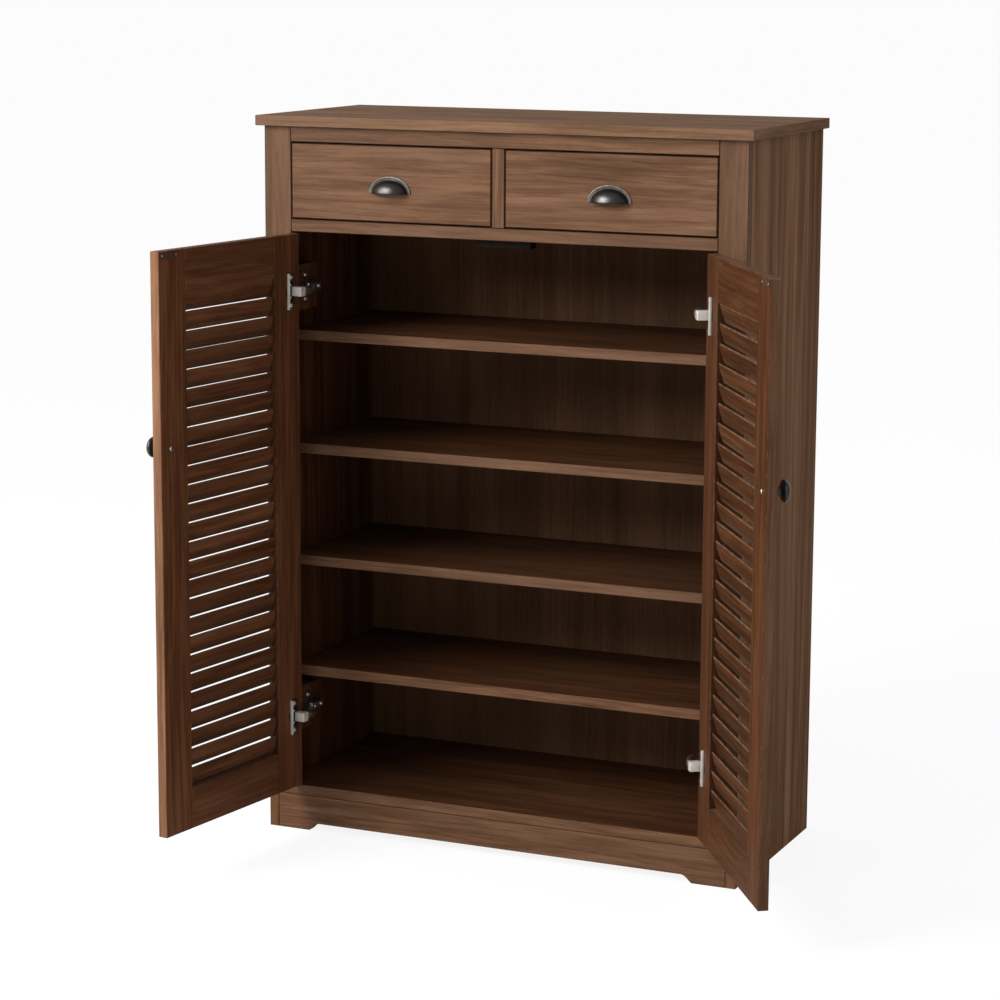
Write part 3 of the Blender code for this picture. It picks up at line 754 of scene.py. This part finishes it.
def slat_material(name, side, z_first, pitch):
    """Grain along each slat, its own tone and cut of grain per slat; painted shade on the inner half and where a slat
    tucks behind the next, and a painted highlight along the upper tips.
    """
    m, t, b = new_material(name)
    p = placed(t, DOOR[side][0])
    x, y, z = t.split(p)
    off = t.math("SUBTRACT", y, T_LEAF / 2)
    zc = t.math("SUBTRACT", z, t.math("MULTIPLY", off, 1 / math.tan(SLAT_TILT)))
    idx = t.math("FLOOR", t.math("ADD", t.math("DIVIDE", t.math("SUBTRACT", zc, z_first), pitch), 0.5))
    wn = t.node("ShaderNodeTexWhiteNoise", noise_dimensions="1D")
    t.put(wn.inputs["W"], t.math("ADD", idx, 17.5 if side == "left" else 51.5))
    own = t.vec("MULTIPLY", wn.outputs["Color"], (7.0, 3.0, 5.0))
    v = t.vec("ADD", p, own)
    # The inner half of each slat takes a darker palette: painted shade, lighter on the left leaf than the right,
    # painted light.
    g1, g2 = use_wood(t, v, FRONT, 31), use_wood(t, v, LEFT_INNER_SHADE_AND_LIGHT if side == "left" else INNER_SLAT_SHADE, 31)
    inward_painted_shade = t.ramp(off, -0.0022, 0.0006)
    col = t.mix(inward_painted_shade, g1.outputs["Color"], g2.outputs["Color"])
    tone = t.math("ADD", 0.86, t.math("MULTIPLY", wn.outputs["Value"], 0.28))
    col = t.vec("SCALE", col, scale=tone)
    # Painted shade: darker towards each slat's lower edge, where it tucks behind the next.
    rise = t.math("SUBTRACT", z, t.math("ADD", z_first, t.math("MULTIPLY", idx, pitch)))
    tucked_painted_shade = t.math("MULTIPLY", t.ramp(rise, -0.0030, -0.0135), inward_painted_shade)
    col = t.mix(tucked_painted_shade, col, t.vec("SCALE", col, scale=0.50))
    # Painted highlight along each slat's upper tip, stronger on the right leaf (0.80) than the left (0.18).
    rub_and_highlight_noise = t.noise(p, 60.0, 3.0, 0.6)
    tip_painted_highlight = t.math("MULTIPLY", t.ramp(rise, 0.0118, 0.0136), t.ramp(rub_and_highlight_noise, 0.35, 0.65, 0.35, 1.0))
    col = t.mix(t.math("MULTIPLY", tip_painted_highlight, 0.18 if side == "left" else 0.80), col, (0.230, 0.125, 0.070))
    t.put(b.inputs["Base Color"], col)
    t.put(b.inputs["Roughness"], g2.outputs["Rough"])
    b.inputs["Specular IOR Level"].default_value = 0.035
    bp = t.node("ShaderNodeBump")
    bp.inputs["Strength"].default_value = 0.35
    bp.inputs["Distance"].default_value = 0.0004
    t.put(bp.inputs["Height"], g2.outputs["Height"])
    t.put(b.inputs["Normal"], bp.outputs[0])
    return m


for side in ("left", "right"):
    lo, hi = leaf_box(side, f"{side}_door_louvre")
    s0, s1 = sorted((abs(lo.x), abs(hi.x)))
    z_first = lo.z + 0.0005 + 0.01457
    pitch = (hi.z - lo.z - 2 * 0.01457 - 0.001) / (SLATS - 1)
    rng = random.Random(7 if side == "left" else 11)
    pc = leaf_piece(f"{side}_door_slats", side)
    mat = slat_material(f"{side}_slat_wood", side, z_first, pitch)
    for k in range(SLATS):
        tilt = SLAT_TILT + math.radians(rng.uniform(-0.5, 0.5))
        up = 0.0013 if k == SLATS - 1 else rng.uniform(-0.00025, 0.00025)      # the last slat is tucked up to the rail
        pc.add(slat_mesh(s0 + 0.0002, s1 - 0.0002, z_first + k * pitch + up, tilt, rng.uniform(-0.0003, 0.0003)), mat)
    pc.done(f"{side}_door", "front_veneer", f"{side}_door_louvre")

# ------------------------------------------------------------------ knobs
KNOB = [(0.0, 0.0235), (0.0035, 0.02345), (0.0070, 0.0230), (0.0110, 0.0219), (0.0145, 0.0196), (0.0160, 0.0168), (0.0157, 0.0145),
        (0.0130, 0.0124), (0.0092, 0.0114), (0.0072, 0.0094), (0.0066, 0.0062), (0.0069, 0.0034), (0.0082, 0.0014), (0.0091, 0.0009)]
TO_OUT = Matrix.Rotation(math.radians(90), 4, "X")     # z of a turned form to the leaf's outward -y
for side in ("left", "right"):
    lo, hi = leaf_box(side, f"{side}_door_knob")
    s, z = abs(lo.x + hi.x) / 2, (lo.z + hi.z) / 2
    pc = leaf_piece(f"{side}_door_mushroom_knob", side)
    body = smooth_profile(KNOB, 4) + [(0.0091, 0.0002), (0.0, 0.0002)]
    pc.add(lathe(body, 56), BLACKM, Matrix.Translation((s, 0, z)) @ TO_OUT)
    pc.add(lathe([(0, 0.0004), (0.0020, 0.0004), (0.0020, -0.0158), (0, -0.0158)], 16), NICKEL_DARK, Matrix.Translation((s, 0, z)) @ TO_OUT)
    pc.screw((s, T_LEAF + 0.0001, z), (0, 1, 0), 0.0041, NICKEL_DARK, 0.3)
    pc.done(f"{side}_door", "black_metal", f"{side}_door_knob")

# ------------------------------------------------------------------ strike plates
for side in ("left", "right"):
    lo, hi = leaf_box(side, f"{side}_door_strike_plate")
    mid = abs(lo.x + hi.x) / 2
    a, b_ = mid - 0.0195, mid + 0.0195
    z = (lo.z + hi.z) / 2
    pc = leaf_piece(f"{side}_door_catch_plate", side)
    # The catch plate, nickel in the part, is toned dark brown like the leaf's shaded inner face: painted shade.
    pc.add(soft_box((a, lo.y, lo.z), (b_, lo.y + 0.0009, hi.z), 0.0016, 3, "y"), BROWN_PLATE_SHADE)
    reach = (b_ - a) / 2 - 0.0034
    for ds in (-reach, reach):
        pc.screw(((a + b_) / 2 + ds, lo.y + 0.0008, z), (0, 1, 0), 0.0017, NICKEL_DARK, 0.5 + ds * 90)
    pc.done(f"{side}_door", "nickel", f"{side}_door_strike_plate")


# ------------------------------------------------------------------ cup hinges
def arc_strip(r0, r1, a0, a1, hz, zc, n=22, r=0.0007):
    """Part of a ring about the hinge line, as a bent bar."""
    bm = bmesh.new()
    rows = []
    for k in range(n + 1):
        a = a0 + (a1 - a0) * k / n
        c, s = math.cos(a), math.sin(a)
        ring = []
        for rr, zz in ((r0 + r, -hz), (r1 - r, -hz), (r1, -hz + r), (r1, hz - r), (r1 - r, hz), (r0 + r, hz), (r0, hz - r), (r0, -hz + r)):
            ring.append(bm.verts.new((rr * c, rr * s, zc + zz)))
        rows.append(ring)
    for a, b in zip(rows, rows[1:]):
        for k in range(8):
            q = (k + 1) % 8
            bm.faces.new((a[k], a[q], b[q], b[k]))
    bm.faces.new(list(reversed(rows[0])))
    bm.faces.new(rows[-1])
    bmesh.ops.recalc_face_normals(bm, faces=bm.faces)
    return bm


def pierced(plate, holes, name):
    o = temp_object(plate, name)
    cut = []
    for i, h in enumerate(holes):
        c = temp_object(h, f"{name}_hole_{i}")
        cut.append(c)
        m = o.modifiers.new(f"h{i}", "BOOLEAN")
        m.operation, m.object, m.solver = "DIFFERENCE", c, "EXACT"
    me = evaluated(o)
    for c in cut:
        bpy.data.objects.remove(c)
    return me


for side in ("left", "right"):
    for lvl in ("top", "bottom"):
        node = f"{side}_door_{lvl}_hinge_cup"
        lo, hi = leaf_box(side, node)
        zc = (lo.z + hi.z) / 2
        cx = 0.0245
        yf = T_LEAF + 0.0001
        pc = leaf_piece(f"{side}_door_{lvl}_hinge", side)
        # long screw plate with a window over the cup
        plate = soft_box((cx - 0.0098, yf, zc - 0.0283), (cx + 0.0098, yf + 0.0013, zc + 0.0283), 0.0028, 4, "y")
        me = pierced(plate, [soft_box((cx - 0.0062, yf - 0.001, zc - 0.0150), (cx + 0.0066, yf + 0.004, zc + 0.0150), 0.0030, 4, "y")], "plate")
        pc.add(me, NICKEL_DARK)
        bpy.data.meshes.remove(me)
        # A dark plate under the window stands in for the cup's shaded hollow: painted shade.
        pc.add(soft_box((cx - 0.0060, yf + 0.0004, zc - 0.0148), (cx + 0.0064, yf + 0.0008, zc + 0.0148), 0.0028, 3, "y"), RECESS_SHADE)
        # turned-up lip along the front edge of the plate
        pc.add(soft_box((cx + 0.0070, yf + 0.0002, zc - 0.0282), (cx + 0.0100, yf + 0.0046, zc + 0.0282), 0.0007, 2), SATIN)
        for k in (-1, 1):
            pc.screw((cx, yf + 0.0012, zc + k * 0.0220), (0, 1, 0), 0.0034, NICKEL, 0.4 * k)
            pc.add(lathe(smooth_profile([(0, 0.0016), (0.0012, 0.0015), (0.0018, 0.0010), (0.0020, 0.0)], 2) + [(0, 0.0)], 20), NICKEL,
                   Matrix.Translation((cx + 0.001, yf + 0.0006, zc + k * 0.0098)) @ Matrix.Rotation(math.radians(-90), 4, "X"))
        # housing of the links, and the curved arm that turns about the hinge line
        pc.add(soft_box((0.0128, 0.0070, zc - 0.0062), (0.0215, 0.0180, zc + 0.0062), 0.0006, 2), NICKEL_DARK)
        pc.add(soft_box((0.0108, yf + 0.0012, zc - 0.0072), (0.0243, 0.0352, zc + 0.0072), 0.0009, 3), SATIN)
        pc.add(arc_strip(0.0279, 0.0331, math.radians(52), math.radians(141), 0.0062, zc), NICKEL_DARK)
        pc.add(arc_strip(0.0328, 0.0336, math.radians(60), math.radians(136), 0.0040, zc), NICKEL)
        for yy in (0.0225, 0.0310):
            pc.add(lathe(smooth_profile([(0, 0.0152), (0.0010, 0.0151), (0.0016, 0.0147), (0.0017, 0.0140)], 2) + [(0.0017, 0.0), (0, 0.0)], 18), NICKEL,
                   Matrix.Translation((0.0175, yy, zc - 0.0076)))
        pc.done(f"{side}_door", "nickel", node)

        # mounting plate on the cabinet side
        node = f"{side}_{lvl}_hinge_mount"
        lo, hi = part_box(node)
        sgn = -1 if side == "left" else 1
        mp = Piece(f"{side}_{lvl}_hinge_base", None, -sgn)      # drawn with x = distance from the outer side, then mirrored as needed
        xo = 0.3539
        yc, zc = -0.132, (lo.z + hi.z) / 2

        def X(v):
            return -v        # the left side's pieces lie at negative x

        wing = soft_box((X(xo), yc - 0.0068, zc - 0.0258), (X(xo - 0.0016), yc + 0.0068, zc + 0.0258), 0.0040, 4, "x")
        mp.add(wing, NICKEL_DARK)
        mp.add(soft_box((X(xo), -0.1392, zc - 0.0094), (X(xo - 0.0018), -0.0942, zc + 0.0094), 0.0030, 3, "x"), NICKEL_DARK)
        mp.add(soft_box((X(xo - 0.0016), -0.1390, zc - 0.0068), (X(0.3408), -0.0975, zc + 0.0068), 0.0010, 3), NICKEL_DARK)
        mp.add(soft_box((X(0.3420), -0.1384, zc - 0.0050), (X(0.34045), -0.1010, zc + 0.0050), 0.0006, 2), NICKEL)
        for k in (-1, 1):
            mp.screw((X(xo - 0.0015), yc, zc + k * 0.0190), (1, 0, 0), 0.0036, NICKEL, 0.2 * k)
        for yy, r in ((-0.1290, 0.0026), (-0.1085, 0.0030)):
            mp.screw((X(0.34065), yy, zc), (1, 0, 0), r, NICKEL, yy * 40)
        mp.done("carcass", "nickel", node)


# ------------------------------------------------------------------ cup pulls
def hood_mesh(rx, ry, rz, wall, nu=44, nv=20):
    """A quarter of an ellipsoid shell, open below and behind: x across, -y out of the drawer, z up from the lip."""
    bm = bmesh.new()

    def grid(a, b, c):
        g = []
        for i in range(nu + 1):
            th = math.pi * i / nu
            row = []
            for j in range(nv + 1):
                ps = math.pi / 2 * j / nv
                row.append(bm.verts.new((a * math.cos(th), -b * math.sin(th) * math.sin(ps), c * math.sin(th) * math.cos(ps))))
            g.append(row)
        return g

    o, i_ = grid(rx, ry, rz), grid(rx - wall, ry - wall, rz - wall)
    for k in range(nu):
        for j in range(nv):
            bm.faces.new((o[k][j], o[k + 1][j], o[k + 1][j + 1], o[k][j + 1]))
            bm.faces.new((i_[k][j], i_[k][j + 1], i_[k + 1][j + 1], i_[k + 1][j]))
        bm.faces.new((o[k][nv], o[k + 1][nv], i_[k + 1][nv], i_[k][nv]))
        bm.faces.new((o[k][0], i_[k][0], i_[k + 1][0], o[k + 1][0]))
    for g in (0, nu):
        for j in range(nv):
            f = (o[g][j], o[g][j + 1], i_[g][j + 1], i_[g][j])
            bm.faces.new(f)
    bmesh.ops.remove_doubles(bm, verts=bm.verts, dist=1e-6)
    bmesh.ops.dissolve_degenerate(bm, dist=1e-7, edges=bm.edges)
    bmesh.ops.recalc_face_normals(bm, faces=bm.faces)
    return bm


def sweep(points, normals, outline):
    """A bar of the given outline (along normal, along -y) swept through points in the x-z plane, capped."""
    bm = bmesh.new()
    rows = [[bm.verts.new((p[0] + n[0] * a, -d, p[1] + n[1] * a)) for a, d in outline] for p, n in zip(points, normals)]
    m = len(outline)
    for a, b in zip(rows, rows[1:]):
        for k in range(m):
            q = (k + 1) % m
            bm.faces.new((a[k], a[q], b[q], b[k]))
    bm.faces.new(list(reversed(rows[0])))
    bm.faces.new(rows[-1])
    bmesh.ops.recalc_face_normals(bm, faces=bm.faces)
    return bm


for side in ("left", "right"):
    node = f"{side}_drawer_cup_pull"
    lo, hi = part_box(node)
    cx, z0, y0 = (lo.x + hi.x) / 2, lo.z, -0.175
    at = Matrix.Translation((cx, y0, z0))
    pc = Piece(f"{side}_drawer_bin_pull")
    pc.add(hood_mesh(0.0300, 0.0208, 0.0218, 0.0017), PEWTER, at @ Matrix.Translation((0, -0.0002, 0)))
    n = 48
    rim_x, rim_z = 0.0332, 0.0240
    pts = [(rim_x * math.cos(math.pi * k / n), rim_z * math.sin(math.pi * k / n)) for k in range(n + 1)]
    nor = []
    for k in range(n + 1):
        a = math.pi * k / n
        v = Vector((math.cos(a) / rim_x, math.sin(a) / rim_z)).normalized()
        nor.append((v.x, v.y))
    flat = [(-0.0046, 0.0002), (0.0022, 0.0002), (0.0026, 0.0006), (0.0025, 0.0013), (0.0019, 0.0018), (0.0010, 0.0020), (0.0000, 0.0017), (-0.0014, 0.0013), (-0.0046, 0.0012)]
    pc.add(sweep(pts, nor, flat), PEWTER_RIM, at)
    # rolled lip along the opening
    m_ = 30
    lip_pts = [(math.pi * k / m_) for k in range(m_ + 1)]
    bm = bmesh.new()
    rows = []
    for a in lip_pts:
        c, s = math.cos(a), math.sin(a)
        p = Vector((0.0294 * c, -0.0202 * s, 0.0))
        nn = Vector((c / 0.0294, -s / 0.0202, 0)).normalized()
        rows.append([bm.verts.new(p + nn * (0.0011 * math.cos(q)) + Vector((0, 0, 0.0009 + 0.0009 * math.sin(q)))) for q in [2 * math.pi * j / 8 for j in range(8)]])
    for a, b in zip(rows, rows[1:]):
        for k in range(8):
            q = (k + 1) % 8
            bm.faces.new((a[k], a[q], b[q], b[k]))
    bm.faces.new(list(reversed(rows[0])))
    bm.faces.new(rows[-1])
    bmesh.ops.recalc_face_normals(bm, faces=bm.faces)
    pc.add(bm, PEWTER, at @ Matrix.Translation((0, -0.0003, 0)))
    pc.done(f"{side}_drawer", "pewter", node, angle=50)

# ------------------------------------------------------------------ magnetic catch
lo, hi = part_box("magnetic_catch")
pc = Piece("double_magnetic_catch")
pc.add(soft_box(lo, (hi.x, hi.y, hi.z), 0.0012, 3), PLASTIC)
for sgn in (-1, 1):
    pc.add(soft_box((sgn * 0.026 - 0.011, lo.y - 0.0004, lo.z + 0.0022), (sgn * 0.026 + 0.011, lo.y + 0.004, lo.z + 0.0052), 0.0005, 2), PLASTIC)
    pc.add(soft_box((sgn * 0.026 - 0.011, lo.y - 0.0004, lo.z + 0.0082), (sgn * 0.026 + 0.011, lo.y + 0.004, lo.z + 0.0112), 0.0005, 2), PLASTIC)
pc.done("carcass", "dark_plastic", "magnetic_catch")

# ------------------------------------------------------------------ nails of the back panel
lo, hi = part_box("back_panel")
pc = Piece("back_panel_nails")
nail = [(0, 0.0007), (0.0016, 0.00062), (0.0023, 0.0004), (0.0025, 0.0), (0, 0.0)]
spots = []
for k in range(9):
    z = lo.z + 0.03 + (hi.z - lo.z - 0.06) * k / 8
    spots += [(lo.x + 0.009, z), (hi.x - 0.009, z)]
for zz in (0.252, 0.4347, 0.6174, 0.8001, 0.981):
    for k in range(5):
        spots.append((-0.28 + 0.14 * k, zz))
for x, z in spots:
    pc.add(lathe(nail, 14), NICKEL_DARK, Matrix.Translation((x, hi.y + 0.00005, z)) @ Matrix.Rotation(math.radians(-90), 4, "X"))
pc.done("carcass", "nickel")

# ------------------------------------------------------------------ stage: floor, light, camera
me = bpy.data.meshes.new("floor")
bm = bmesh.new()
bmesh.ops.create_grid(bm, x_segments=2, y_segments=2, size=180.0)
bm.to_mesh(me)
bm.free()
floor = bpy.data.objects.new("floor", me)
floor.location = (0, 0, -0.0006)
scene.collection.objects.link(floor)
floor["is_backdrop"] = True
fm = bpy.data.materials.new("floor_white")
fm.use_nodes = True
fm.node_tree.nodes.clear()
t = Tree(fm.node_tree)
out = t.node("ShaderNodeOutputMaterial")
dif = t.node("ShaderNodeBsdfDiffuse")
dif.inputs["Color"].default_value = (0.86, 0.86, 0.86, 1)
glow = t.node("ShaderNodeEmission")
glow.inputs["Color"].default_value = (1, 1, 1, 1)
glow.inputs["Strength"].default_value = 1.12
lp = t.node("ShaderNodeLightPath")
half_seen = t.math("MULTIPLY", lp.outputs["Is Camera Ray"], 0.78)
ms = t.node("ShaderNodeMixShader")
t.put(ms.inputs[0], half_seen)
fm.node_tree.links.new(dif.outputs[0], ms.inputs[1])
fm.node_tree.links.new(glow.outputs[0], ms.inputs[2])
fm.node_tree.links.new(ms.outputs[0], out.inputs[0])
give(floor, fm)

world = bpy.data.worlds.new("studio")
scene.world = world
world.use_nodes = True
t = Tree(world.node_tree)
bg = world.node_tree.nodes["Background"]
lp = t.node("ShaderNodeLightPath")
t.put(bg.inputs["Strength"], t.math("ADD", 0.52, t.math("MULTIPLY", lp.outputs["Is Camera Ray"], 0.48)))
bg.inputs["Color"].default_value = (1, 1, 1, 1)



def softbox(name, at, aim, size, power, colour=(1, 1, 1)):
    la = bpy.data.lights.new(name, "AREA")
    la.shape = "SQUARE"
    la.size = size
    la.energy = power
    la.color = colour
    ob = bpy.data.objects.new(name, la)
    scene.collection.objects.link(ob)
    ob.location = at
    ob.rotation_mode = "QUATERNION"
    ob.rotation_quaternion = (Vector(at) - Vector(aim)).to_track_quat("Z", "Y")
    ob.visible_camera = False
    return ob


sheen_light = softbox("wide", (-1.9, -3.3, 2.2), (0.0, -0.2, 0.9), 3.0, 220.0, (1.0, 0.99, 0.975))      # seen only as a reflection
sheen_light.visible_diffuse = False
softbox("key", (-1.75, -2.95, 2.5), (-0.1, -0.2, 0.75), 1.7, 124.0, (1.0, 0.985, 0.965))

CAM_POS = Vector((1.796, -4.219, 1.399))
YAW, PITCH, ROLL, F_PX, SHIFT = 23.88, 10.02, 0.29, 2920.7, -0.03
cam = bpy.data.cameras.new("camera")
cam.sensor_width = 36.0
cam.lens = F_PX * 36.0 / 1000.0
cam.shift_y = SHIFT
cam.clip_start, cam.clip_end = 0.05, 500.0
co = bpy.data.objects.new("camera", cam)
scene.collection.objects.link(co)
ya, pi, ro = (math.radians(a) for a in (YAW, PITCH, ROLL))
fwd = Vector((-math.sin(ya) * math.cos(pi), math.cos(ya) * math.cos(pi), -math.sin(pi)))
right = Vector((math.cos(ya), math.sin(ya), 0))
up = right.cross(fwd)
r2 = right * math.cos(ro) + up * math.sin(ro)
u2 = up * math.cos(ro) - right * math.sin(ro)
mw = Matrix((r2, u2, -fwd)).transposed().to_4x4()
mw.translation = CAM_POS
co.matrix_world = mw
scene.camera = co

bpy.context.view_layer.update()
lo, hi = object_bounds()
